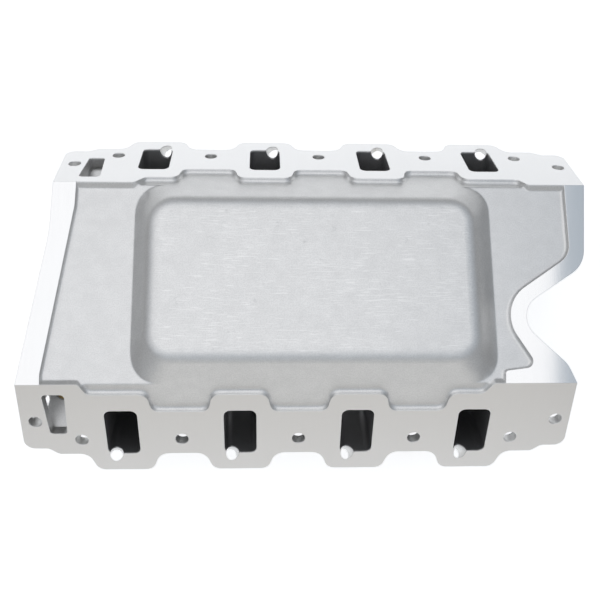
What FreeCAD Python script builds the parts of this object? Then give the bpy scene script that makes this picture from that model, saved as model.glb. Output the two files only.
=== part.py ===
import FreeCAD, Part

import math
import os

from FreeCAD import Vector

# Intake manifold for a 90-degree V8 with port fuel injection.
# It lies valley side up: +Z points at the valley of the engine, and the part rests on its throttle
# flange, at z = 0. X runs along the crankshaft, with the distributor notch at +X, and the two head
# flanges face -Y and +Y. All sizes are millimetres.

# --- driving dimensions -------------------------------------------------------------------------
BORE_PITCH = 111.76        # cylinder spacing, 4.40 in
BANK_SHIFT = 11.7          # each bank is this far from the middle, one to -X and one to +X
RAIL_Z = 155.0             # plane of the end rails above the throttle face
RAIL_HALF = 98.0           # half the distance between the head flanges' inner edges
COS45 = math.sqrt(0.5)

FLANGE_THICK = 10.5        # head flange, square to its own face
FLANGE_END = 259.6         # half length of a head flange at its inner edge
FLANGE_END_OUT = 261.6     # and near its outer edge
PAD_STEP = 4.5             # machined pads stand this far above the cast slope
PAD_FILLET = 3.0           # at the foot of that step
EDGE_PORT_IN = 12.2        # inner edge of the flange at a port
EDGE_WEB_IN = 32.4         # and between ports
EDGE_END_OUT = 77.0        # outer edge at the ends
EDGE_WEB_OUT = 84.2        # between ports
EDGE_PORT_OUT = 105.0      # and at a port

PORT_WIDE = 31.0
PORT_IN, PORT_OUT = 31.2, 84.2
PORT_RADIUS = 6.5
RUNNER_WALL = 6.0
BOLT_RADIUS = 6.35
BOLTS = [(-247.1, 43.7), (-206.5, 66.3), (-BORE_PITCH, 66.0), (0.0, 66.0),
         (BORE_PITCH, 66.0), (206.5, 66.3), (247.1, 43.7)]

INJECTOR_RADIUS = 6.3
INJECTOR_SIDE = 7.4        # bore from the port's centre line
INJECTOR_V = 83.0
INJECTOR_LEAN_X = 0.18     # lean per millimetre of depth
INJECTOR_LEAN_Y = 0.15
INJECTOR_BOSS = 11.0
INJECTOR_EXIT = 20.0       # depth of the boss's end face below the bore's entry

SHELF_DEPTH = 5.0          # cast shelf below the rails
SHELF_FILLET = 3.0
PLATE_DEPTH = 15.0         # underside of rails and shelf
PLATEAU_RISE = 17.0        # plateau above the rails
PLATEAU_X = (-168.9, 175.3)
PLATEAU_SLOPE = (0.77, 1.0)
SLOPE_WALL = 8.0           # of the cast slope, over the hollow
PLATEAU_CORNER = 38.0
PLATEAU_EDGE = 20.0

DECK_Z = RAIL_Z - 105.0    # gasket face of the lower casting
DECK_THICK = 12.0
DECK_Y = 134.0
GASKET_THICK = 2.0
LIP_THICK = 10.0
PLENUM_Y = 114.0           # inside the plenum
PLENUM_WALL = 7.0
PLENUM_ROOF = 8.0
PLENUM_FLOOR = 5.0         # the plenum's outer face above the throttle pad's
THROTTLE_X, THROTTLE_Y = 142.7, 131.1
INSERT_RADIUS, INSERT_THREAD = 5.0, 3.3

DISTRIBUTOR = (227.0, -36.2)

LIP_FACE = DECK_Z - GASKET_THICK - LIP_THICK
SCREW_RADIUS = 3.0
HALF_SCREWS = [(-200, -127.5), (-105, -127.5), (-11, -127.5), (83, -127.5), (181, -127.5), (-210.5, -70),
               (-188, 62)]
SCREWS = HALF_SCREWS + [(-x, -y) for x, y in HALF_SCREWS]
DOWELS = [(-210.5, -108), (210.5, 108)]
POSTS = [(-130, 127.5), (152, 127.5), (130, -127.5), (-152, -127.5)]

SLOT_U = -227.3            # middle of a coolant slot
SLOT_IN, SLOT_OUT = 11.8, 58.8
CROSS_HALF, CROSS_WALL = 22.0, 7.0
CROSS_TOP, CROSS_FLOOR = 21.0, 53.0    # water passage below the rails
CROSS_FACE = RAIL_Z - CROSS_FLOOR - CROSS_WALL
FITTING_HOLES = [(-62, 6.0), (-98, 7.0), (88, 7.0)]      # y and radius, in the crossover's floor
OUTLET_Y = 20.0
OUTLET_X = SLOT_U + OUTLET_Y * BANK_SHIFT / RAIL_HALF
OUTLET_FACE = RAIL_Z - 76.0
OUTLET_BOLT = 42.5         # from the outlet's axis
SEAT_RADIUS = 27.0         # thermostat plate
SEAT_THICK = 1.2

PORTS = [(i - 1.5) * BORE_PITCH for i in range(4)]
SIDES = (-1, 1)
DOWN = Vector(0, 0, -1)


# --- helpers ------------------------------------------------------------------------------------
def flange_point(side, u, v, w=0.0):
    """A point given along a head flange: u along X, v down its face, w out of its face."""
    return Vector(side * BANK_SHIFT + u, side * (RAIL_HALF + (v + w) * COS45), RAIL_Z + (w - v) * COS45)


def flange_normal(side, length):
    return Vector(0, side * COS45, COS45) * length


def outline(corners, place):
    """A closed wire through (a, b, radius) corners, each rounded by its radius."""
    count = len(corners)
    rounds = []
    for i, (a, b, radius) in enumerate(corners):
        here = Vector(a, b, 0)
        if radius == 0:
            rounds.append((here, None, here))
            continue
        back = (Vector(*corners[i - 1][:2], 0) - here).normalize()
        ahead = (Vector(*corners[(i + 1) % count][:2], 0) - here).normalize()
        half = back.getAngle(ahead) / 2
        reach = radius / math.tan(half)
        middle = (back + ahead).normalize() * (radius / math.sin(half) - radius)
        rounds.append((here + back * reach, here + middle, here + ahead * reach))
    edges = []
    for i, (start, middle, end) in enumerate(rounds):
        if middle is not None:
            points = [place(p.x, p.y) for p in (start, middle, end)]
            edges.append(Part.Arc(*points).toShape())
        following = rounds[(i + 1) % count][0]
        if (following - end).Length > 1e-6:
            edges.append(Part.makeLine(place(end.x, end.y), place(following.x, following.y)))
    return Part.Wire(edges)


def prism(corners, place, sweep):
    return Part.Face(outline(corners, place)).extrude(sweep)


def plan(corners, z_low, z_high):
    """A vertical prism with the given plan."""
    return prism(corners, lambda a, b: Vector(a, b, z_low), Vector(0, 0, z_high - z_low))


def rectangle(a0, a1, b0, b1, radius=0.0):
    return [(a0, b0, radius), (a1, b0, radius), (a1, b1, radius), (a0, b1, radius)]


def turned(corners):
    """The same outline turned by half a turn about the origin."""
    return corners + [(-a, -b, radius) for a, b, radius in corners]


def rod(radius, x, y, z_low, z_high):
    return Part.makeCylinder(radius, z_high - z_low, Vector(x, y, z_low))


def tube(outer, inner, x, y, z_low, z_high):
    return rod(outer, x, y, z_low, z_high).cut(rod(inner, x, y, z_low, z_high))


def rod_along(radius, start, direction, length):
    return Part.makeCylinder(radius, length, start, direction)


def hexagon(flats, start, direction, length, turn=0.0):
    """A hexagonal prism, flats across, from a point along a direction."""
    points = []
    for i in range(7):
        angle = math.radians(60 * i + turn)
        points.append(Vector(math.cos(angle), math.sin(angle), 0) * (flats / math.sqrt(3)))
    shape = Part.Face(Part.makePolygon(points)).extrude(Vector(0, 0, length))
    shape.Placement = FreeCAD.Placement(start, FreeCAD.Rotation(Vector(0, 0, 1), direction))
    return shape


def turned_profile(points, x, y):
    """A solid of revolution about the vertical line at x, y, from (radius, z) points."""
    wire = Part.makePolygon([Vector(x + r, y, z) for r, z in points + points[:1]])
    return Part.Face(wire).revolve(Vector(x, y, 0), Vector(0, 0, 1), 360)


def union(shapes):
    return shapes[0].multiFuse(shapes[1:]).removeSplitter()


def save(name, shape):
    shape.exportStep(f"parts/{name}.step")


# --- lower casting ------------------------------------------------------------------------------
def flange_outline(side):
    """The machined face: wavy inner and outer edges, with pads round the ports."""
    inner = [(-FLANGE_END, 0, 0), (-203, 0, 5), (-196, EDGE_PORT_IN, 7)]
    for port in PORTS[:-1]:
        inner.append((port + 25.5, EDGE_PORT_IN, 9))
        inner.append((port + 30, EDGE_WEB_IN, 9))
        inner.append((port + BORE_PITCH - 30, EDGE_WEB_IN, 9))
        inner.append((port + BORE_PITCH - 25.5, EDGE_PORT_IN, 9))
    inner += [(172, EDGE_PORT_IN, 7), (182, 0, 5), (FLANGE_END, 0, 0)]
    if side > 0:
        inner = [(-u, v, radius) for u, v, radius in reversed(inner)]
    outer = [(FLANGE_END_OUT, EDGE_END_OUT, 10), (239, EDGE_END_OUT, 8), (230, EDGE_WEB_OUT, 8)]
    for port in reversed(PORTS):
        outer.append((port + 34, EDGE_WEB_OUT, 13))
        outer.append((port + 26.5, EDGE_PORT_OUT, 10))
        outer.append((port - 26.5, EDGE_PORT_OUT, 10))
        outer.append((port - 34, EDGE_WEB_OUT, 13))
    outer += [(-230, EDGE_WEB_OUT, 8), (-239, EDGE_END_OUT, 8), (-FLANGE_END_OUT, EDGE_END_OUT, 10)]
    return inner + outer


def head_flange(side):
    def at_face(u, v):
        return flange_point(side, u, v)

    def at_slope(u, v):
        return flange_point(side, u, v, -PAD_STEP)

    machined = prism(flange_outline(side), at_face, flange_normal(side, -FLANGE_THICK))
    shelf_v = SHELF_DEPTH / COS45 - PAD_STEP
    low, high = sorted((203 * side, -182 * side))
    slope = prism(rectangle(low, high, shelf_v, EDGE_WEB_IN + 12), at_slope,
                  flange_normal(side, -SLOPE_WALL))
    flange = machined.fuse(slope)
    foot = [e for e in flange.Edges if on_pad_foot(side, e)]
    return flange.makeFillet(PAD_FILLET, foot)


def on_pad_foot(side, edge):
    """Whether an edge is where the pads' inner walls meet the cast slope."""
    origin, normal = flange_point(side, 0, 0, -PAD_STEP), flange_normal(side, 1)
    if any(abs((vertex.Point - origin).dot(normal)) > 1e-4 for vertex in edge.Vertexes):
        return False
    down = [(abs(vertex.Y) - RAIL_HALF) / COS45 + PAD_STEP for vertex in edge.Vertexes]
    return min(down) > SHELF_DEPTH / COS45 - PAD_STEP + 0.5 and max(down) < EDGE_WEB_IN + 3


def rail_edges(half):
    """Outer edges of the two end rails, as (x, y, radius) corners going round."""
    corner = BANK_SHIFT + FLANGE_END
    left = [(-corner + 2 * BANK_SHIFT, half, 0), (-248.5, 48, 150), (-corner, -half, 0)]
    right = [(corner - 2 * BANK_SHIFT, -half, 0), (240.6, -80.1, 25), (190.6, -31.9, 23),
             (264.0, 15.9, 30), (corner, half, 0)]
    return left, right


def valley_cover():
    """End rails, the shelf let in between them, and the plateau with its hollow back."""
    shelf_half = RAIL_HALF - PAD_STEP / COS45 + SHELF_DEPTH
    left, right = rail_edges(RAIL_HALF)
    cover = plan(left + right, RAIL_Z - PLATE_DEPTH, RAIL_Z - SHELF_DEPTH)
    cover = cover.common(plan(rectangle(-300, 300, -shelf_half, shelf_half), 0, RAIL_Z))
    left_inner = [(-249.2, -RAIL_HALF, 0), (-249.6, -88, 8), (-226.0, 74, 30), (-225.6, RAIL_HALF, 0)]
    right_inner = [(251.1, RAIL_HALF, 0), (251.1, 25.8, 22), (176.8, -24.4, 35), (212.3, -82.4, 7),
                   (181.1, -86.2, 3), (180.3, -RAIL_HALF, 0)]
    rails = [plan(left + left_inner, RAIL_Z - PLATE_DEPTH, RAIL_Z),
             plan(right + right_inner, RAIL_Z - PLATE_DEPTH, RAIL_Z)]
    cover = cover.multiFuse(rails)
    feet = [outline(corners, lambda a, b: Vector(a, b, RAIL_Z - SHELF_DEPTH))
            for corners in (left_inner, right_inner)]
    foot = [edge for edge in cover.Edges if any(lies_on(edge, wire) for wire in feet)]
    return cover.makeFillet(SHELF_FILLET, foot).fuse(plateau())


def lies_on(edge, wire):
    middle = edge.valueAt((edge.FirstParameter + edge.LastParameter) / 2)
    points = [Part.Vertex(middle)] + edge.Vertexes
    return all(point.distToShape(wire)[0] < 1e-3 for point in points)


def plateau():
    low, high = -9.0, PLATEAU_RISE
    sections = []
    for z in (low, high):
        rise = z + SHELF_DEPTH
        half = RAIL_HALF - PAD_STEP / COS45 - z
        x0 = PLATEAU_X[0] + PLATEAU_SLOPE[0] * rise
        x1 = PLATEAU_X[1] - PLATEAU_SLOPE[1] * rise
        sections.append(Part.makePolygon([Vector(x, y, RAIL_Z + z) for x, y in
                        ((x0, -half), (x1, -half), (x1, half), (x0, half), (x0, -half))]))
    block = Part.makeLoft(sections, True, True)
    corners = [e for e in block.Edges if e.BoundBox.ZLength > 1]
    block = block.makeFillet(PLATEAU_CORNER, corners)
    top = RAIL_Z + high
    rim = [e for e in block.Edges if e.BoundBox.ZMin > top - 1e-3]
    return block.makeFillet(PLATEAU_EDGE, rim)


def plateau_hollow():
    wall = 9.0
    sections = []
    for z in (-PLATE_DEPTH - 1, PLATEAU_RISE - 7.0):
        rise = z + SHELF_DEPTH
        half = RAIL_HALF - (PAD_STEP + SLOPE_WALL) / COS45 - z
        x0 = PLATEAU_X[0] + PLATEAU_SLOPE[0] * rise + wall
        x1 = PLATEAU_X[1] - PLATEAU_SLOPE[1] * rise - wall
        sections.append(outline(rectangle(x0, x1, -half, half, 20),
                                lambda a, b, z=z: Vector(a, b, RAIL_Z + z)))
    return Part.makeLoft(sections, True, True)


def runner(side, port, wall, top):
    """A straight runner, square to the head flange, long enough to pass the deck."""
    half = PORT_WIDE / 2 + wall
    corners = rectangle(port - half, port + half, PORT_IN - wall, PORT_OUT + wall, PORT_RADIUS + wall / 2)
    return prism(corners, lambda u, v: flange_point(side, u, v, top), flange_normal(side, -136 - top))


def deck_outline():
    return turned([(-216, -DECK_Y, 14), (194, -DECK_Y, 14), (194, 0, 25), (216, 36, 25)])


def deck_plate(z_low, z_high):
    plate = plan(deck_outline(), z_low, z_high)
    return plate.cut(rod(38, *DISTRIBUTOR, z_low - 1, z_high + 1))


def injector_axis(side, port):
    start = flange_point(side, port + side * INJECTOR_SIDE, INJECTOR_V)
    return start, Vector(side * INJECTOR_LEAN_X, side * INJECTOR_LEAN_Y, -1)


def injector_boss(side, port):
    """Metal round the bore, trimmed just below the machined face."""
    start, lean = injector_axis(side, port)
    boss = rod_along(INJECTOR_BOSS, start, lean, lean.Length * INJECTOR_EXIT)
    above = prism(rectangle(port - 60, port + 60, 40, 130), lambda u, v: flange_point(side, u, v, -1),
                  flange_normal(side, 30))
    return boss.cut(above)


def injector_bore(side, port):
    start, lean = injector_axis(side, port)
    return rod_along(INJECTOR_RADIUS, start - lean * 14, lean, lean.Length * (INJECTOR_EXIT + 20))


def crossover_x(y):
    """Middle of the water crossover, which is slanted in plan."""
    return SLOT_U + y * BANK_SHIFT / RAIL_HALF


def crossover_point(y, drop, shift):
    return Vector(crossover_x(y) + shift, y, RAIL_Z - drop)


def crossover(top, floor, depth, half):
    """The crossover's shape between the two flanges, its ends parallel to them."""
    reach = RAIL_HALF - depth / COS45
    corners = [(-reach - top, top, 0), (reach + top, top, 0), (reach + floor, floor, 0),
               (-reach - floor, floor, 0)]
    return prism(corners, lambda y, drop: crossover_point(y, drop, -half), Vector(2 * half, 0, 0))


def coolant_slot(side):
    corners = [(SLOT_U - 10.6, SLOT_IN, 4), (SLOT_U + 10.6, SLOT_IN, 4), (SLOT_U + 8.2, SLOT_OUT, 4),
               (SLOT_U - 7.8, SLOT_OUT, 4)]
    return prism(corners, lambda u, v: flange_point(side, u, v, 1), flange_normal(side, -FLANGE_THICK - 3))


def lower_casting():
    solids = [valley_cover(), deck_plate(DECK_Z, DECK_Z + DECK_THICK)]
    solids.append(crossover(PLATE_DEPTH - 1, CROSS_FLOOR + CROSS_WALL, FLANGE_THICK - 5, CROSS_HALF))
    below_deck = Part.makeBox(600, 400, 200, Vector(-300, -200, DECK_Z - 200))
    for side in SIDES:
        solids.append(head_flange(side))
        for port in PORTS:
            solids.append(runner(side, port, RUNNER_WALL, -8).cut(below_deck))
            solids.append(injector_boss(side, port))
    ears = [(OUTLET_X - 12, OUTLET_Y - OUTLET_BOLT - 9, 9), (OUTLET_X + 12, OUTLET_Y - OUTLET_BOLT - 9, 9),
            (OUTLET_X + 33, OUTLET_Y, 30), (OUTLET_X + 12, OUTLET_Y + OUTLET_BOLT + 9, 9),
            (OUTLET_X - 12, OUTLET_Y + OUTLET_BOLT + 9, 9), (OUTLET_X - 33, OUTLET_Y, 30)]
    solids.append(plan(ears, OUTLET_FACE, RAIL_Z - CROSS_FLOOR))
    casting = union(solids)

    cuts = [plateau_hollow(), crossover(CROSS_TOP, CROSS_FLOOR, FLANGE_THICK, CROSS_HALF - CROSS_WALL)]
    for side in SIDES:
        cuts.append(coolant_slot(side))
        for u, v in BOLTS:
            cuts.append(rod_along(BOLT_RADIUS, flange_point(side, u, v, 2), flange_normal(side, -1), 42))
        for port in PORTS:
            cuts.append(runner(side, port, 0, 1))
            cuts.append(injector_bore(side, port))
    cuts.append(rod(SEAT_RADIUS + 0.1, OUTLET_X, OUTLET_Y, OUTLET_FACE - 1, OUTLET_FACE + SEAT_THICK))
    cuts.append(rod(24, OUTLET_X, OUTLET_Y, OUTLET_FACE, RAIL_Z - CROSS_FLOOR + 1))
    for y in (OUTLET_Y - OUTLET_BOLT, OUTLET_Y + OUTLET_BOLT):
        cuts.append(rod(4, OUTLET_X, y, OUTLET_FACE - 1, OUTLET_FACE + 15))
    for y, radius in FITTING_HOLES:
        cuts.append(rod(radius, crossover_x(y), y, CROSS_FACE - 3, CROSS_FACE + CROSS_WALL + 1))
    for x, y in SCREWS:
        cuts.append(rod(SCREW_RADIUS, x, y, DECK_Z - 1, DECK_Z + 9))
    for x, y in DOWELS:
        cuts.append(rod(SCREW_RADIUS, x, y, DECK_Z - 1, DECK_Z + 7))
    return casting.cut(cuts)


# --- plenum -------------------------------------------------------------------------------------
def plenum_outline(grow):
    return turned([(-198 - grow, -PLENUM_Y - grow, 10 + grow), (175 + grow, -PLENUM_Y - grow, 10 + grow),
                   (175 + grow, -2, 12), (198 + grow, 28, 12)])


def throttle_points():
    return [(sx * THROTTLE_X / 2, sy * THROTTLE_Y / 2) for sx in (-1, 1) for sy in (-1, 1)]


def plenum_cover():
    joint = DECK_Z - GASKET_THICK
    lip = deck_plate(LIP_FACE, joint)
    body = plan(plenum_outline(PLENUM_WALL), PLENUM_FLOOR, joint)
    rim = [e for e in body.Edges if e.BoundBox.ZMax < PLENUM_FLOOR + 1e-3]
    body = body.makeFillet(6, rim)
    pad = plan(rectangle(-86, 86, -80, 80, 16), 0, PLENUM_FLOOR + 2)
    ribs = []
    for y in (-100, -91, 91, 100):
        ribs.append(plan(rectangle(-165, 165, y - 1.5, y + 1.5, 1.4), PLENUM_FLOOR - 3, PLENUM_FLOOR + 2))
    for side in SIDES:
        for i in range(7):
            x = side * (100 + 9 * i)
            ribs.append(plan(rectangle(x - 1.5, x + 1.5, -80, 80, 1.4), PLENUM_FLOOR - 3, PLENUM_FLOOR + 2))
    cover = union([lip, body, pad] + ribs)
    cuts = [plan(plenum_outline(0), PLENUM_FLOOR + PLENUM_ROOF, joint + 1),
            plan(rectangle(-52, 52, -50, 50, 26), -1, PLENUM_FLOOR + PLENUM_ROOF + 1)]
    for x, y in throttle_points():
        cuts.append(rod(INSERT_RADIUS, x, y, -1, 11))
    for x, y in SCREWS:
        cuts.append(rod(SCREW_RADIUS + 0.3, x, y, LIP_FACE - 1, joint + 1))
        cuts.append(rod(5.4, x, y, LIP_FACE - 20, LIP_FACE))
    for x, y in DOWELS:
        cuts.append(rod(SCREW_RADIUS, x, y, joint - 6, joint + 1))
    for x, y in POSTS:
        cuts.append(rod(SCREW_RADIUS, x, y, LIP_FACE - 1, joint + 1))
    for start, direction, radius in PLENUM_HOLES:
        cuts.append(rod_along(radius, start - direction * (PLENUM_WALL + 2), direction, PLENUM_WALL + 4))
    return cover.cut(cuts)


def plenum_gasket():
    sheet = deck_plate(DECK_Z - GASKET_THICK, DECK_Z)
    cuts = []
    for side in SIDES:
        for port in PORTS:
            cuts.append(runner(side, port, 1.5, 1))
    for x, y in SCREWS + DOWELS + POSTS:
        cuts.append(rod(SCREW_RADIUS + 0.3, x, y, DECK_Z - 5, DECK_Z + 1))
    return sheet.cut(cuts)


def cap_screw(x, y, face, length, radius, head_radius, head):
    """A socket cap screw whose head bears on a face looking down."""
    body = rod(head_radius, x, y, face - head, face).fuse(rod(radius, x, y, face - 0.5, face + length))
    return body.cut(hexagon(radius * 1.7, Vector(x, y, face - head - 0.1), Vector(0, 0, 1), head * 0.55))


def group(shapes):
    return Part.makeCompound(shapes)


# --- wall fittings of the plenum: point on the wall's outer face, outward direction, hole radius ---
WALL_Z = PLENUM_FLOOR + 17.0
LEFT_WALL = -198 - PLENUM_WALL
NEAR_WALL = -PLENUM_Y - PLENUM_WALL
AIR_SENSOR = (Vector(LEFT_WALL, -85, WALL_Z), Vector(-1, 0, 0), 6.0)
BRAKE_FITTING = (Vector(105, -NEAR_WALL, WALL_Z), Vector(0, 1, 0), 6.0)
VACUUM_PLUGS = [(Vector(x, NEAR_WALL, WALL_Z), Vector(0, -1, 0), 5.0) for x in (44, 66)]
MAP_SENSOR = (Vector(-LEFT_WALL, 72, WALL_Z), Vector(1, 0, 0), 5.0)
MAP_SCREWS = [(Vector(-LEFT_WALL, 72 + y, WALL_Z), Vector(1, 0, 0), 2.0) for y in (-19, 19)]
PLENUM_HOLES = [AIR_SENSOR, BRAKE_FITTING, MAP_SENSOR] + VACUUM_PLUGS + MAP_SCREWS


def threaded_end(place, depth):
    start, direction, radius = place
    return rod_along(radius, start - direction * depth, direction, depth)


def air_sensor():
    start, direction, _ = AIR_SENSOR
    return union([threaded_end(AIR_SENSOR, 18), hexagon(19, start, direction, 8),
                  rod_along(7, start + direction * 7, direction, 10)])


def air_sensor_connector():
    start, direction, _ = AIR_SENSOR
    shell = rod_along(9, start + direction * 17, direction, 18)
    tab = Part.makeBox(12, 6, 3, start + Vector(-33, -3, 8.2))
    return shell.fuse(tab).cut(rod_along(6.5, start + direction * 22, direction, 20))


def brake_fitting():
    start, direction, _ = BRAKE_FITTING
    pieces = [threaded_end(BRAKE_FITTING, 6), hexagon(19, start, direction, 9),
              rod_along(4.8, start + direction * 8, direction, 24)]
    for i in range(3):
        pieces.append(Part.makeCone(5.8, 4.6, 4, start + direction * (16 + 5 * i), direction))
    return union(pieces).cut(rod_along(3.2, start - direction * 8, direction, 45))


def vacuum_plug(place):
    start, direction, _ = place
    return threaded_end(place, 6).fuse(rod_along(7, start, direction, 4)).cut(
        hexagon(5, start + direction * 1.5, direction, 4))


def map_sensor():
    start = MAP_SENSOR[0]
    body = Part.makeBox(14, 50, 17, start + Vector(0, -25, -8.5))
    edges = [e for e in body.Edges if e.BoundBox.XLength > 1]
    body = body.makeFillet(4, edges)
    socket = Part.makeBox(17, 16, 12, start + Vector(13, -8, -6))
    socket = socket.cut(Part.makeBox(12, 12, 8, start + Vector(20, -6, -4)))
    sensor = union([body, socket, threaded_end(MAP_SENSOR, 5)])
    return sensor.cut([rod_along(2.3, place[0] - place[1], place[1], 20) for place in MAP_SCREWS])


def map_screw(place):
    start, direction, radius = place
    head = start + direction * 14
    screw = rod_along(4, head, direction, 3.2).fuse(rod_along(radius, start - direction * 5, direction, 19.5))
    return screw.cut(hexagon(3, head + direction * 1.4, direction, 3))


# --- fuel rail posts ----------------------------------------------------------------------------
def rail_post(x, y):
    post = hexagon(11, Vector(x, y, LIP_FACE), DOWN, 22)
    post = post.fuse(rod(SCREW_RADIUS, x, y, LIP_FACE - 1, LIP_FACE + 9))
    return post.cut(rod(2.5, x, y, LIP_FACE - 23, LIP_FACE - 8))


def rail_screw(x, y):
    end = LIP_FACE - 22
    return union([rod(6.5, x, y, end - 1.5, end), hexagon(8, Vector(x, y, end - 1.4), DOWN, 4.5),
                  rod(2.5, x, y, end - 1, end + 11)])


# --- coolant outlet and thermostat --------------------------------------------------------------
VALVE_Z = OUTLET_FACE + SEAT_THICK + 0.3
VALVE_THICK = 1.5
SPRING_TOP = OUTLET_FACE + SEAT_THICK + 17.0
JIGGLE = (OUTLET_X - 14.5, OUTLET_Y - 14.5)  # x and y, where the vent pin goes through the plate
JIGGLE_HOLE = 1.6
SPRING_WIRE, SPRING_RADIUS = 0.8, 12.2       # radius of the wire, and of the coil to its middle
SPRING_TURNS, SPRING_SIDES = 3.5, 10


def outlet_plan(shrink):
    reach = OUTLET_BOLT + 9 - shrink
    return [(OUTLET_X - 11, OUTLET_Y - reach, 9), (OUTLET_X + 11, OUTLET_Y - reach, 9),
            (OUTLET_X + 31, OUTLET_Y, 30), (OUTLET_X + 11, OUTLET_Y + reach, 9),
            (OUTLET_X - 11, OUTLET_Y + reach, 9), (OUTLET_X - 31, OUTLET_Y, 30)]


def outlet_bolt_points():
    return [(OUTLET_X, OUTLET_Y + s * OUTLET_BOLT) for s in (-1, 1)]


def outlet_gasket():
    sheet = plan(outlet_plan(1), OUTLET_FACE - 1, OUTLET_FACE)
    return sheet.cut([rod(25, OUTLET_X, OUTLET_Y, OUTLET_FACE - 2, OUTLET_FACE + 1)]
                     + [rod(4.3, x, y, OUTLET_FACE - 2, OUTLET_FACE + 1) for x, y in outlet_bolt_points()])


def water_outlet():
    top = OUTLET_FACE - 1
    plate = plan(outlet_plan(0), top - 9, top)
    dome = turned_profile([(0, top - 8), (27.5, top - 8), (26.5, top - 16), (22, top - 23), (19, top - 28),
                           (19, 16), (20.2, 14), (20.2, 11), (18.5, 9), (0, 9)], OUTLET_X, OUTLET_Y)
    inside = turned_profile([(0, top + 1), (23.5, top + 1), (23.5, top - 14), (19, top - 20), (16, top - 27),
                             (16, 8), (0, 8)], OUTLET_X, OUTLET_Y)
    holes = [rod(4.3, x, y, top - 10, top + 1) for x, y in outlet_bolt_points()]
    return plate.fuse(dome).cut([inside] + holes)


def outlet_bolt(x, y):
    face = OUTLET_FACE - 10
    return union([rod(8, x, y, face - 1.6, face), hexagon(12, Vector(x, y, face - 1.5), DOWN, 6),
                  rod(3.95, x, y, face - 1, face + 23)])


def thermostat_seat():
    """Thermostat plate with its valve seat and the arch that holds the piston."""
    z = OUTLET_FACE
    plate = tube(SEAT_RADIUS, 16, OUTLET_X, OUTLET_Y, z, z + SEAT_THICK)
    legs = [Part.makeBox(2, 7, 14, Vector(OUTLET_X + x - 1, OUTLET_Y - 3.5, z - 13.5)) for x in (-17.5, 17.5)]
    bar = Part.makeBox(37, 7, 2, Vector(OUTLET_X - 18.5, OUTLET_Y - 3.5, z - 15))
    boss = rod(4, OUTLET_X, OUTLET_Y, z - 17, z - 12)
    seat = union([plate, bar, boss] + legs)
    return seat.cut([rod(2, OUTLET_X, OUTLET_Y, z - 15, z - 11),
                     rod(JIGGLE_HOLE, *JIGGLE, z - 1, z + SEAT_THICK + 1)])


def spring_bridge():
    """Lower frame of the thermostat: two legs and the cross bar that the spring pushes on."""
    z = OUTLET_FACE + SEAT_THICK
    legs = [Part.makeBox(6, 2, 18, Vector(OUTLET_X - 3, OUTLET_Y + y - 1, z)) for y in (-20, 20)]
    bar = Part.makeBox(6, 42, 1.6, Vector(OUTLET_X - 3, OUTLET_Y - 21, z + 17))
    ring = rod(15, OUTLET_X, OUTLET_Y, z + 17, z + 18.6)
    return union([bar, ring] + legs).cut(rod(8.4, OUTLET_X, OUTLET_Y, z + 16, z + 20))


def thermostat_valve():
    return tube(17, 8, OUTLET_X, OUTLET_Y, VALVE_Z, VALVE_Z + VALVE_THICK)


def thermostat_capsule():
    body = turned_profile([(0, VALVE_Z - 2), (8, VALVE_Z - 2), (8, VALVE_Z + 28), (6, VALVE_Z + 30),
                           (0, VALVE_Z + 30)], OUTLET_X, OUTLET_Y)
    return body.cut(rod(2.06, OUTLET_X, OUTLET_Y, VALVE_Z - 3, VALVE_Z + 14))


def thermostat_piston():
    return rod(2, OUTLET_X, OUTLET_Y, OUTLET_FACE - 15, VALVE_Z + 12)


def thermostat_spring():
    """A helix of wire whose section is a regular polygon with the round wire's area."""
    low, high = VALVE_Z + VALVE_THICK + 0.1 + SPRING_WIRE, SPRING_TOP - 0.1 - SPRING_WIRE
    pitch = (high - low) / SPRING_TURNS
    along = Vector(0, 2 * math.pi * SPRING_RADIUS, pitch).normalize()
    outward = Vector(1, 0, 0)
    across = outward.cross(along)
    corner = SPRING_WIRE * math.sqrt(2 * math.pi / SPRING_SIDES / math.sin(2 * math.pi / SPRING_SIDES))
    points = []
    for i in range(SPRING_SIDES + 1):
        angle = 2 * math.pi * (i + 0.5) / SPRING_SIDES
        points.append(outward * (SPRING_RADIUS + corner * math.cos(angle))
                      + across * (corner * math.sin(angle)))
    helix = Part.makeHelix(pitch, high - low, SPRING_RADIUS)
    spring = Part.Wire(helix.Edges).makePipeShell([Part.makePolygon(points)], True, True)
    spring.translate(Vector(OUTLET_X, OUTLET_Y, low))
    return spring


def jiggle_pin():
    x, y = JIGGLE
    low = OUTLET_FACE + SEAT_THICK
    return union([rod(2.3, x, y, low + 0.05, low + 1), rod(1.1, x, y, low - 4, low + 0.5),
                  rod(2.3, x, y, low - 4.8, low - 3.9)])


# --- fittings in the crossover ------------------------------------------------------------------
def fitting_base(y):
    return Vector(crossover_x(y), y, CROSS_FACE)


def coolant_sensor():
    base = fitting_base(-62)
    return union([rod(6, base.x, base.y, CROSS_FACE, CROSS_FACE + 8),
                  rod(4, base.x, base.y, CROSS_FACE, CROSS_FACE + 24),
                  hexagon(19, base, DOWN, 8), rod(7, base.x, base.y, CROSS_FACE - 16, CROSS_FACE - 7)])


def coolant_sensor_connector():
    base = fitting_base(-62)
    shell = tube(9, 6.5, base.x, base.y, CROSS_FACE - 34, CROSS_FACE - 16)
    floor = rod(7, base.x, base.y, CROSS_FACE - 21, CROSS_FACE - 16)
    tab = Part.makeBox(6, 3, 12, base + Vector(-3, 8.2, -33))
    return union([shell, floor, tab])


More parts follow.
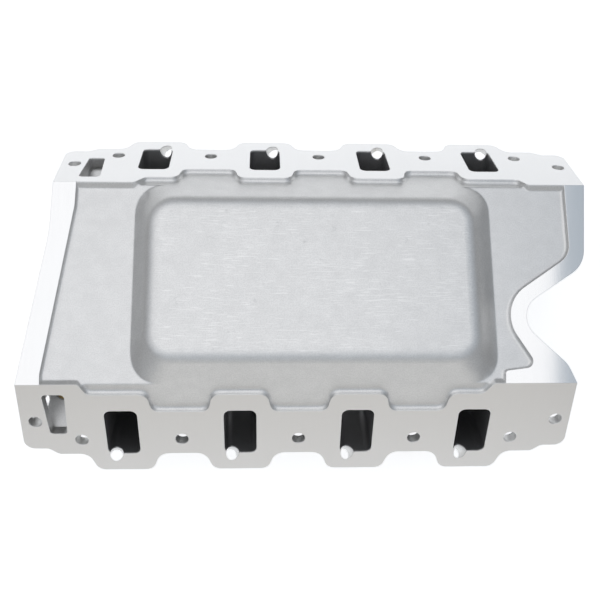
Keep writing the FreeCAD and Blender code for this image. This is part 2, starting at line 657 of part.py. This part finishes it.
def heater_nipple():
    base = fitting_base(88)
    pieces = [rod(7, base.x, base.y, CROSS_FACE, CROSS_FACE + 7), hexagon(22, base, DOWN, 9),
              rod(7.6, base.x, base.y, CROSS_FACE - 40, CROSS_FACE - 8)]
    for i in range(3):
        pieces.append(Part.makeCone(8.8, 7.4, 5, base + Vector(0, 0, -22 - 7 * i), DOWN))
    return union(pieces).cut(rod(5.2, base.x, base.y, CROSS_FACE - 41, CROSS_FACE + 8))


def crossover_plug():
    base = fitting_base(-98)
    plug = rod(7, base.x, base.y, CROSS_FACE, CROSS_FACE + 7)
    plug = plug.fuse(rod(9, base.x, base.y, CROSS_FACE - 3, CROSS_FACE))
    return plug.cut(hexagon(8, base + Vector(0, 0, -3.1), Vector(0, 0, 1), 6))


# --- write every piece --------------------------------------------------------------------------
os.makedirs("parts", exist_ok=True)

save("lower_casting", lower_casting())
save("plenum_cover", plenum_cover())
save("plenum_gasket", plenum_gasket())
save("plenum_screws", group([cap_screw(x, y, LIP_FACE, 19, 2.95, 5, 6) for x, y in SCREWS]))
save("plenum_dowels", group([rod(2.98, x, y, DECK_Z - GASKET_THICK - 6, DECK_Z + 6) for x, y in DOWELS]))
save("throttle_inserts", group([tube(INSERT_RADIUS, INSERT_THREAD, x, y, 0, 11)
                                for x, y in throttle_points()]))
save("fuel_rail_posts", group([rail_post(x, y) for x, y in POSTS]))
save("fuel_rail_screws", group([rail_screw(x, y) for x, y in POSTS]))
save("water_outlet", water_outlet())
save("outlet_gasket", outlet_gasket())
save("outlet_bolts", group([outlet_bolt(x, y) for x, y in outlet_bolt_points()]))
save("thermostat_seat", thermostat_seat())
save("spring_bridge", spring_bridge())
save("thermostat_valve", thermostat_valve())
save("thermostat_capsule", thermostat_capsule())
save("thermostat_piston", thermostat_piston())
save("thermostat_spring", thermostat_spring())
save("jiggle_pin", jiggle_pin())
save("coolant_sensor", coolant_sensor())
save("coolant_sensor_connector", coolant_sensor_connector())
save("heater_nipple", heater_nipple())
save("crossover_plug", crossover_plug())
save("air_sensor", air_sensor())
save("air_sensor_connector", air_sensor_connector())
save("map_sensor", map_sensor())
save("map_sensor_screws", group([map_screw(place) for place in MAP_SCREWS]))
save("brake_fitting", brake_fitting())
save("vacuum_plugs", group([vacuum_plug(place) for place in VACUUM_PLUGS]))
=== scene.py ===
import math

import bpy
from mathutils import Matrix, Quaternion, Vector

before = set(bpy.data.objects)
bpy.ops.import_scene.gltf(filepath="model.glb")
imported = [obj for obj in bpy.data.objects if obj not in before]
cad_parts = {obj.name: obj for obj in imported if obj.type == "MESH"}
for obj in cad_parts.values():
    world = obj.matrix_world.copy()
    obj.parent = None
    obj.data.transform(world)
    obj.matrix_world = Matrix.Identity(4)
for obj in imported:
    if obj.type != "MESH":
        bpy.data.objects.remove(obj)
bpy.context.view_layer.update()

# --- places and sizes, in metres --------------------------------------------------------------------
MM = 0.001
COS45 = math.sqrt(0.5)
RAIL_Z = 155 * MM                  # plane of the end rails
RAIL_HALF = 98 * MM                # the head flanges' inner edges, either side of the middle
DECK_Z = 50 * MM                   # joint between the two castings
PLATEAU_RISE = 17 * MM             # plateau above the rails
BORE_PITCH = 111.76 * MM           # between ports
BANK_SHIFT = 11.7 * MM             # of each row of ports along the crankshaft
PORT_HALF = 15.7 * MM              # half a port's width, with a small margin
PORT_IN, PORT_OUT = 31 * MM, 84.5 * MM     # a port's ends down the flange, with a small margin
THROTTLE_FACE = 0.0
SCREW_LIP = 38 * MM                # face of the plenum cover under its screws' heads
COVER_JOINT = 48 * MM              # gasket face of the plenum cover
OUTLET_FLANGE = (69 * MM, 78 * MM) # lower and gasket face of the water outlet's flange
FACE_SLACK = 0.2 * MM              # how near to its plane a milled face has to be
FLANGE_SLACK = 0.5 * MM            # and a milled flange
LEVEL = 0.98                       # least Z of a level face's normal
FLANGE_TILT = 1.38                 # least |Y| + Z of a flange's normal, which is 1.41 at 45 degrees


# --- camera -----------------------------------------------------------------------------------------
AZIMUTH, ELEVATION, ROLL = -11.78, 77.05, 11.53      # degrees
CAMERA_AIM = (-11.2 * MM, -18.65 * MM, RAIL_Z)
CAMERA_DISTANCE = 767.73 * MM
LENS, SENSOR = 48.88, 36           # in millimetres, as Blender takes them


def add_camera():
    """Looks down on the valley side, a little from the near side, and rolled a few degrees."""
    azimuth, elevation, roll = math.radians(AZIMUTH), math.radians(ELEVATION), math.radians(ROLL)
    back = Vector((math.sin(azimuth) * math.cos(elevation), -math.cos(azimuth) * math.cos(elevation),
                   math.sin(elevation)))
    level = Vector((math.cos(azimuth), math.sin(azimuth), 0))
    right = level * math.cos(roll) + back.cross(level) * math.sin(roll)
    up = back.cross(right)
    data = bpy.data.cameras.new("camera")
    data.sensor_width = SENSOR
    data.lens = LENS
    data.clip_start = 0.01
    camera = bpy.data.objects.new("camera", data)
    bpy.context.scene.collection.objects.link(camera)
    turn = Matrix((right, up, back)).transposed()
    camera.matrix_world = Matrix.Translation(Vector(CAMERA_AIM) + back * CAMERA_DISTANCE) @ turn.to_4x4()
    bpy.context.scene.camera = camera


# --- light and floor --------------------------------------------------------------------------------
WALLS_LOW = (0.20, 0.19, 0.18)
WALLS_HIGH = (0.44, 0.49, 0.55)
WALLS_FADE = (0.15, 0.75)          # Z of the directions where the walls start and stop getting brighter
FLOOR_HALF = 4.0                   # metres
FLOOR_DROP = 0.2 * MM              # below the object, so the two faces don't flicker
FLOOR_GLOW = 0.57                  # keeps the paper white all round


def add_softbox(name, size, place, aim, radiance, colour, turn=0.0):
    """A rectangular light of a given brightness, from a place towards a point, turned about that line."""
    data = bpy.data.lights.new(name, "AREA")
    data.shape = "RECTANGLE"
    data.size, data.size_y = size
    data.energy = radiance * math.pi * size[0] * size[1]
    data.color = colour
    light = bpy.data.objects.new(name, data)
    bpy.context.scene.collection.objects.link(light)
    light.location = place
    towards = (Vector(aim) - Vector(place)).to_track_quat("-Z", "Y")
    light.rotation_euler = (towards @ Quaternion((0, 0, 1), math.radians(turn))).to_euler()


def add_studio():
    add_softbox("overhead", size=(2.15, 1.9), place=(-0.39, 0.25, 1.36), aim=(-0.39, 0.25, 0),
                radiance=0.61, colour=(1, 0.93, 0.87), turn=-4.5)
    add_softbox("front", size=(2.4, 0.9), place=(0, -1.9, 0.55), aim=(0, 0, 0.1),
                radiance=0.42, colour=(1, 0.96, 0.89))
    bpy.context.scene.world = studio_walls()
    bpy.context.scene.view_settings.view_transform = "Standard"


def studio_walls():
    """A room that is dim at the height of the floor and brighter towards the ceiling."""
    world = bpy.data.worlds.new("studio")
    world.use_nodes = True
    tree = world.node_tree
    direction = tree.nodes.new("ShaderNodeSeparateXYZ")
    tree.links.new(tree.nodes.new("ShaderNodeTexCoord").outputs["Generated"], direction.inputs[0])
    height = tree.nodes.new("ShaderNodeMapRange")
    height.interpolation_type = "SMOOTHSTEP"
    tree.links.new(direction.outputs[2], height.inputs["Value"])
    height.inputs["From Min"].default_value = WALLS_FADE[0]
    height.inputs["From Max"].default_value = WALLS_FADE[1]
    shade = tree.nodes.new("ShaderNodeMix")
    shade.data_type = "RGBA"
    tree.links.new(height.outputs["Result"], shade.inputs[0])
    shade.inputs[6].default_value = (*WALLS_LOW, 1)
    shade.inputs[7].default_value = (*WALLS_HIGH, 1)
    tree.links.new(shade.outputs[2], tree.nodes["Background"].inputs["Color"])
    return world


def add_floor():
    mesh = bpy.data.meshes.new("floor")
    signs = [(-1, -1), (1, -1), (1, 1), (-1, 1)]
    corners = [(sx * FLOOR_HALF, sy * FLOOR_HALF, -FLOOR_DROP) for sx, sy in signs]
    mesh.from_pydata(corners, [], [(0, 1, 2, 3)])
    floor = bpy.data.objects.new("floor", mesh)
    bpy.context.scene.collection.objects.link(floor)
    paper = Surface("floor_paper")
    grain = paper.noise(400, 3)
    paper.colour(paper.mix(grain, (0.86, 0.86, 0.86), (0.90, 0.90, 0.90)))
    paper.set("Roughness", 0.9)
    paper.set("Emission Color", (1, 1, 1, 1))
    paper.set("Emission Strength", FLOOR_GLOW)
    mesh.materials.append(paper.material)


# --- material building ------------------------------------------------------------------------------
class Surface:
    """A procedural material: a Principled shader and short calls that add nodes to it."""

    def __init__(self, name):
        self.material = bpy.data.materials.new(name)
        self.material.use_nodes = True
        self.tree = self.material.node_tree
        self.shader = self.tree.nodes["Principled BSDF"]
        self.place = self.tree.nodes.new("ShaderNodeTexCoord").outputs["Object"]

    def node(self, kind, **settings):
        made = self.tree.nodes.new(kind)
        for key, value in settings.items():
            setattr(made, key, value)
        return made

    def put(self, socket, value):
        """Link a socket to another node's output, or set it to a number or colour."""
        if isinstance(value, bpy.types.NodeSocket):
            self.tree.links.new(value, socket)
        elif isinstance(value, tuple) and len(socket.default_value) == 4:
            socket.default_value = (*value[:3], 1)
        else:
            socket.default_value = value

    def set(self, name, value):
        self.put(self.shader.inputs[name], value)

    def colour(self, value):
        self.set("Base Color", value)

    def math(self, operation, first, second=0.0):
        made = self.node("ShaderNodeMath", operation=operation)
        self.put(made.inputs[0], first)
        self.put(made.inputs[1], second)
        return made.outputs[0]

    def step(self, value, low, high):
        """0 below low, 1 above high, and smooth between; the other way round if high is below low."""
        made = self.node("ShaderNodeMapRange", interpolation_type="SMOOTHSTEP")
        self.put(made.inputs["Value"], value)
        ends = (low, high, 0.0, 1.0) if low < high else (high, low, 1.0, 0.0)
        for i, end in enumerate(ends):
            made.inputs[i + 1].default_value = end
        return made.outputs["Result"]

    def mix(self, factor, first, second):
        made = self.node("ShaderNodeMix", data_type="RGBA")
        self.put(made.inputs[0], factor)
        self.put(made.inputs[6], first)
        self.put(made.inputs[7], second)
        return made.outputs[2]

    def blend(self, factor, first, second):
        """The same as mix, for plain numbers."""
        made = self.node("ShaderNodeMix", data_type="FLOAT")
        self.put(made.inputs[0], factor)
        self.put(made.inputs[2], first)
        self.put(made.inputs[3], second)
        return made.outputs[0]

    def blend_normals(self, factor, first, second):
        made = self.node("ShaderNodeMix", data_type="VECTOR")
        self.put(made.inputs[0], factor)
        self.put(made.inputs[4], first)
        self.put(made.inputs[5], second)
        return made.outputs[1]

    def stretched(self, scale, turn=0.0, shift=0.0):
        """The object's own coordinates, turned about Z, scaled and shifted."""
        made = self.node("ShaderNodeMapping", vector_type="POINT")
        self.put(made.inputs["Vector"], self.place)
        made.inputs["Rotation"].default_value = (0, 0, math.radians(turn))
        made.inputs["Scale"].default_value = scale
        made.inputs["Location"].default_value = (shift, shift, shift)
        return made.outputs["Vector"]

    def noise(self, scale, detail=2.0, roughness=0.5, vector=None):
        made = self.node("ShaderNodeTexNoise")
        self.put(made.inputs["Vector"], self.place if vector is None else vector)
        made.inputs["Scale"].default_value = scale
        made.inputs["Detail"].default_value = detail
        made.inputs["Roughness"].default_value = roughness
        return made.outputs["Fac"]

    def rounded(self, radius):
        """The normal as if every edge had a small radius."""
        made = self.node("ShaderNodeBevel", samples=6)
        made.inputs["Radius"].default_value = radius
        return made.outputs["Normal"]

    def dot(self, first, second):
        made = self.node("ShaderNodeVectorMath", operation="DOT_PRODUCT")
        self.put(made.inputs[0], first)
        self.put(made.inputs[1], second)
        return made.outputs["Value"]

    def bump(self, height, distance, strength=1.0, under=None):
        made = self.node("ShaderNodeBump")
        self.put(made.inputs["Height"], height)
        made.inputs["Distance"].default_value = distance
        self.put(made.inputs["Strength"], strength)
        if under is not None:
            self.put(made.inputs["Normal"], under)
        return made.outputs["Normal"]

    def axes(self, source):
        made = self.node("ShaderNodeSeparateXYZ")
        self.put(made.inputs[0], source)
        return made.outputs[0], made.outputs[1], made.outputs[2]

    def facing(self):
        return self.node("ShaderNodeNewGeometry").outputs["True Normal"]


def near(surface, value, target, tolerance):
    """1 where a value is within a tolerance of a target."""
    gap = surface.math("ABSOLUTE", surface.math("SUBTRACT", value, target))
    return surface.math("LESS_THAN", gap, tolerance)


# --- the castings -----------------------------------------------------------------------------------
CAST_COLOUR = (0.79, 0.79, 0.785)
CAST_LIGHT = (0.83, 0.83, 0.825)
CAST_DARK = (0.64, 0.64, 0.635)
CAST_RADIUS = 2.5 * MM             # of a sand-cast edge
MILLED_RADIUS = 0.5 * MM           # of a milled edge after the burr is taken off
# painted shade on the walls deep inside the runners
PORT_SHADE_COLOUR = (0.30, 0.30, 0.31)
MILLED_DARK = (0.90, 0.90, 0.895)
MILLED_LIGHT = (0.935, 0.935, 0.93)
MILLED_CLOUD = (0.85, 0.855, 0.86)
# painted shade on the milled head flanges, which keeps them darker than the milled rails
FLANGE_PAINTED_SHADE = (0.74, 0.74, 0.74)
MILL_MARKS = (420, 30, 30)         # marks per metre along each axis
RAIL_ROUGH = (0.07, 0.12)
FLANGE_ROUGH = (0.34, 0.30)
COVER_ROUGH = (0.34, 0.26)


def scratches(surface):
    """Short fine scratches in a few directions, where the top of a casting has been rubbed."""
    total = None
    for turn, shift in ((12, 0.0), (-24, 1.7), (63, 3.1), (100, 4.9), (-58, 6.3)):
        line = surface.noise(1.0, 1.0, vector=surface.stretched((55, 950, 900), turn=turn, shift=shift))
        patch = surface.noise(22, 1.0, vector=surface.stretched((1, 1, 1), shift=shift + 0.5))
        mark = surface.math("MULTIPLY", surface.step(line, 0.62, 0.74), surface.step(patch, 0.44, 0.60))
        total = mark if total is None else surface.math("MAXIMUM", total, mark)
    return total


def cast_finish(surface):
    """Colour, roughness and normal of a sand-cast face."""
    mottle = surface.noise(90, 4, 0.65)
    grain = surface.noise(900, 2, 0.6)
    speck = surface.step(surface.noise(420, 2, 0.7), 0.66, 0.74)
    edges = surface.rounded(CAST_RADIUS)
    worn = surface.step(surface.dot(edges, surface.facing()), 0.97, 0.80)
    colour = surface.mix(surface.step(mottle, 0.30, 0.70), CAST_COLOUR, CAST_LIGHT)
    colour = surface.mix(surface.math("MULTIPLY", surface.step(grain, 0.62, 0.36), 0.40), colour, CAST_DARK)
    colour = surface.mix(surface.math("MULTIPLY", speck, 0.30), colour, (0.98, 0.98, 0.98))
    colour = surface.mix(surface.math("MULTIPLY", worn, 0.35), colour, (0.95, 0.95, 0.94))
    height = surface.math("ADD", surface.math("MULTIPLY", grain, 0.8), surface.noise(300, 3, 0.6))
    normal = surface.bump(height, 0.10 * MM, 0.5, under=edges)
    rough = surface.math("SUBTRACT", surface.blend(mottle, 0.50, 0.44), surface.math("MULTIPLY", worn, 0.12))
    return colour, rough, normal


def painted_port_shade(surface, x, y, z):
    """1 on the walls inside the runners, from a little way in, where their shade is painted on as a dark
    colour.
    """
    out_y = surface.math("SUBTRACT", surface.math("ABSOLUTE", y), RAIL_HALF)
    drop = surface.math("SUBTRACT", RAIL_Z, z)
    down = surface.math("MULTIPLY", surface.math("ADD", out_y, drop), COS45)
    depth = surface.math("MULTIPLY", surface.math("SUBTRACT", drop, out_y), COS45)
    along = surface.math("SUBTRACT", x, surface.math("MULTIPLY", surface.math("SIGN", y), BANK_SHIFT))
    phase = surface.math("FRACT", surface.math("DIVIDE", along, BORE_PITCH))
    aside = surface.math("MULTIPLY", surface.math("SUBTRACT", phase, 0.5), BORE_PITCH)
    inside = near(surface, aside, 0.0, PORT_HALF)
    inside = surface.math("MULTIPLY", inside, near(surface, down, (PORT_IN + PORT_OUT) / 2,
                                                   (PORT_OUT - PORT_IN) / 2))
    return surface.math("MULTIPLY", inside, surface.step(depth, 0.5 * MM, 3 * MM))


def machined_finish(surface):
    """Colour, cloudiness and normal of a milled face, with fine marks across it."""
    marks = surface.noise(1.0, 2.0, vector=surface.stretched(MILL_MARKS))
    cloud = surface.noise(14, 3, 0.55)
    colour = surface.mix(marks, MILLED_DARK, MILLED_LIGHT)
    colour = surface.mix(surface.math("MULTIPLY", cloud, 0.3), colour, MILLED_CLOUD)
    normal = surface.bump(marks, 0.01 * MM, 0.35, under=surface.rounded(MILLED_RADIUS))
    return colour, cloud, normal


def level_face(surface, z, plane, nz, down=False):
    """1 on a face at a height that looks straight up, or straight down."""
    turned = surface.math("LESS_THAN", nz, -LEVEL) if down else surface.math("GREATER_THAN", nz, LEVEL)
    return surface.math("MULTIPLY", near(surface, z, plane, FACE_SLACK), turned)


def finish_casting(surface, machined, cast, milled):
    """Two finishes on one casting, each a colour, roughness and normal: milled where machined is 1."""
    surface.colour(surface.mix(machined, cast[0], milled[0]))
    surface.set("Roughness", surface.blend(machined, cast[1], milled[1]))
    surface.set("Normal", surface.blend_normals(machined, cast[2], milled[2]))
    surface.set("Metallic", 1.0)


def lower_casting_material():
    surface = Surface("cast_aluminium_valley")
    x, y, z = surface.axes(surface.place)
    _, ny, nz = surface.axes(surface.facing())
    out_y = surface.math("ABSOLUTE", y)
    across = surface.math("SUBTRACT", surface.math("ADD", out_y, z), RAIL_HALF + RAIL_Z)
    tilt = surface.math("ADD", surface.math("ABSOLUTE", ny), nz)
    flange = surface.math("MULTIPLY", near(surface, across, 0.0, FLANGE_SLACK),
                          surface.math("GREATER_THAN", tilt, FLANGE_TILT))
    rail = level_face(surface, z, RAIL_Z, nz)
    deck = level_face(surface, z, DECK_Z, nz, down=True)
    machined = surface.math("MAXIMUM", flange, surface.math("MAXIMUM", rail, deck))

    cast, cast_rough, cast_normal = cast_finish(surface)
    top = surface.step(z, RAIL_Z + PLATEAU_RISE - 1.0 * MM, RAIL_Z + PLATEAU_RISE - 0.1 * MM)
    rubbed = surface.math("MULTIPLY", scratches(surface), top)
    smudge = surface.math("MULTIPLY", surface.step(surface.noise(70, 5, 0.7), 0.61, 0.76), top)
    cast = surface.mix(surface.math("MULTIPLY", rubbed, 0.50), cast, (1.0, 1.0, 0.99))
    cast = surface.mix(surface.math("MULTIPLY", smudge, 0.40), cast, (0.50, 0.50, 0.50))
    # painted shade inside the runners, darker from a little way in
    cast = surface.mix(surface.math("MULTIPLY", painted_port_shade(surface, x, y, z), 0.8), cast, PORT_SHADE_COLOUR)

    flat, cloud, flat_normal = machined_finish(surface)
    # painted shade: the milled head flanges are mixed half way to a grey
    flat = surface.mix(surface.math("MULTIPLY", flange, 0.5), flat, FLANGE_PAINTED_SHADE)
    flange_rough = surface.blend(cloud, *FLANGE_ROUGH)
    flat_rough = surface.blend(rail, flange_rough, surface.blend(cloud, *RAIL_ROUGH))

    finish_casting(surface, machined, (cast, cast_rough, cast_normal), (flat, flat_rough, flat_normal))
    return surface.material


def cover_material(name, joint_planes):
    """Sand-cast aluminium, milled on level faces at the given heights."""
    surface = Surface(name)
    _, _, z = surface.axes(surface.place)
    _, _, nz = surface.axes(surface.facing())
    level = surface.math("GREATER_THAN", surface.math("ABSOLUTE", nz), LEVEL)
    machined = None
    for plane in joint_planes:
        here = surface.math("MULTIPLY", near(surface, z, plane, FACE_SLACK), level)
        machined = here if machined is None else surface.math("MAXIMUM", machined, here)
    flat, cloud, flat_normal = machined_finish(surface)
    flat_rough = surface.blend(cloud, *COVER_ROUGH)
    finish_casting(surface, machined, cast_finish(surface), (flat, flat_rough, flat_normal))
    return surface.material


# --- the small pieces -------------------------------------------------------------------------------
def metal(name, light, dark, rough, turned=0.0):
    """A metal with cloudy tarnish, fine pitting and, if turned, tool rings along Z."""
    surface = Surface(name)
    cloud = surface.noise(160, 4, 0.6)
    fine = surface.noise(1800, 2, 0.5)
    colour = surface.mix(surface.step(cloud, 0.35, 0.7), light, dark)
    surface.colour(surface.mix(surface.math("MULTIPLY", fine, 0.3), colour, dark))
    surface.set("Roughness", surface.blend(cloud, rough, rough + 0.14))
    height = fine
    if turned:
        rings = surface.noise(1.0, 2.0, vector=surface.stretched((20, 20, turned)))
        height = surface.math("ADD", fine, surface.math("MULTIPLY", rings, 1.5))
    surface.set("Normal", surface.bump(height, 0.03 * MM, 0.5))
    surface.set("Metallic", 1.0)
    return surface.material


def gasket_material():
    surface = Surface("gasket_fibre")
    fibre = surface.noise(1.0, 4, 0.7, vector=surface.stretched((700, 260, 700)))
    cloud = surface.noise(60, 3)
    colour = surface.mix(fibre, (0.035, 0.05, 0.065), (0.11, 0.14, 0.17))
    surface.colour(surface.mix(surface.math("MULTIPLY", cloud, 0.4), colour, (0.06, 0.075, 0.09)))
    surface.set("Roughness", surface.blend(fibre, 0.85, 0.7))
    surface.set("Normal", surface.bump(fibre, 0.05 * MM, 0.7))
    return surface.material


def plastic_material():
    surface = Surface("black_nylon")
    flow = surface.noise(90, 4, 0.6)
    texture = surface.noise(2600, 2, 0.5)
    surface.colour(surface.mix(flow, (0.014, 0.014, 0.015), (0.032, 0.032, 0.034)))
    surface.set("Roughness", surface.blend(flow, 0.42, 0.56))
    surface.set("Normal", surface.bump(texture, 0.03 * MM, 0.6))
    return surface.material


def dress():
    zinc = metal("zinc_plate", (0.74, 0.74, 0.70), (0.56, 0.57, 0.56), 0.26)
    ground = metal("ground_steel", (0.66, 0.66, 0.67), (0.52, 0.52, 0.53), 0.18, turned=900)
    stainless = metal("stainless", (0.72, 0.71, 0.69), (0.58, 0.57, 0.56), 0.22, turned=900)
    brass = metal("turned_brass", (0.78, 0.60, 0.30), (0.58, 0.42, 0.20), 0.24, turned=900)
    pressed = metal("pressed_brass", (0.80, 0.64, 0.36), (0.60, 0.45, 0.24), 0.30)
    copper = metal("drawn_copper", (0.74, 0.45, 0.29), (0.52, 0.30, 0.19), 0.28, turned=900)
    wire = metal("spring_wire", (0.42, 0.42, 0.43), (0.28, 0.28, 0.29), 0.30)
    gasket = gasket_material()
    plastic = plastic_material()
    looks = {
        "lower_casting": lower_casting_material(),
        "plenum_cover": cover_material("cast_aluminium_plenum", (THROTTLE_FACE, SCREW_LIP, COVER_JOINT)),
        "water_outlet": cover_material("cast_aluminium_outlet", OUTLET_FLANGE),
        "plenum_gasket": gasket, "outlet_gasket": gasket,
        "plenum_screws": zinc, "fuel_rail_posts": zinc, "fuel_rail_screws": zinc, "outlet_bolts": zinc,
        "heater_nipple": zinc, "map_sensor_screws": zinc,
        "plenum_dowels": ground, "throttle_inserts": stainless, "thermostat_piston": stainless,
        "thermostat_seat": pressed, "spring_bridge": pressed, "thermostat_valve": pressed,
        "jiggle_pin": brass, "thermostat_capsule": copper, "thermostat_spring": wire,
        "coolant_sensor": brass, "crossover_plug": brass, "air_sensor": brass, "brake_fitting": brass,
        "vacuum_plugs": brass,
        "coolant_sensor_connector": plastic, "air_sensor_connector": plastic, "map_sensor": plastic,
    }
    for name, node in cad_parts.items():
        for slot in range(len(node.material_slots)):
            node.material_slots[slot].material = looks[name]


add_camera()
add_studio()
add_floor()
dress()
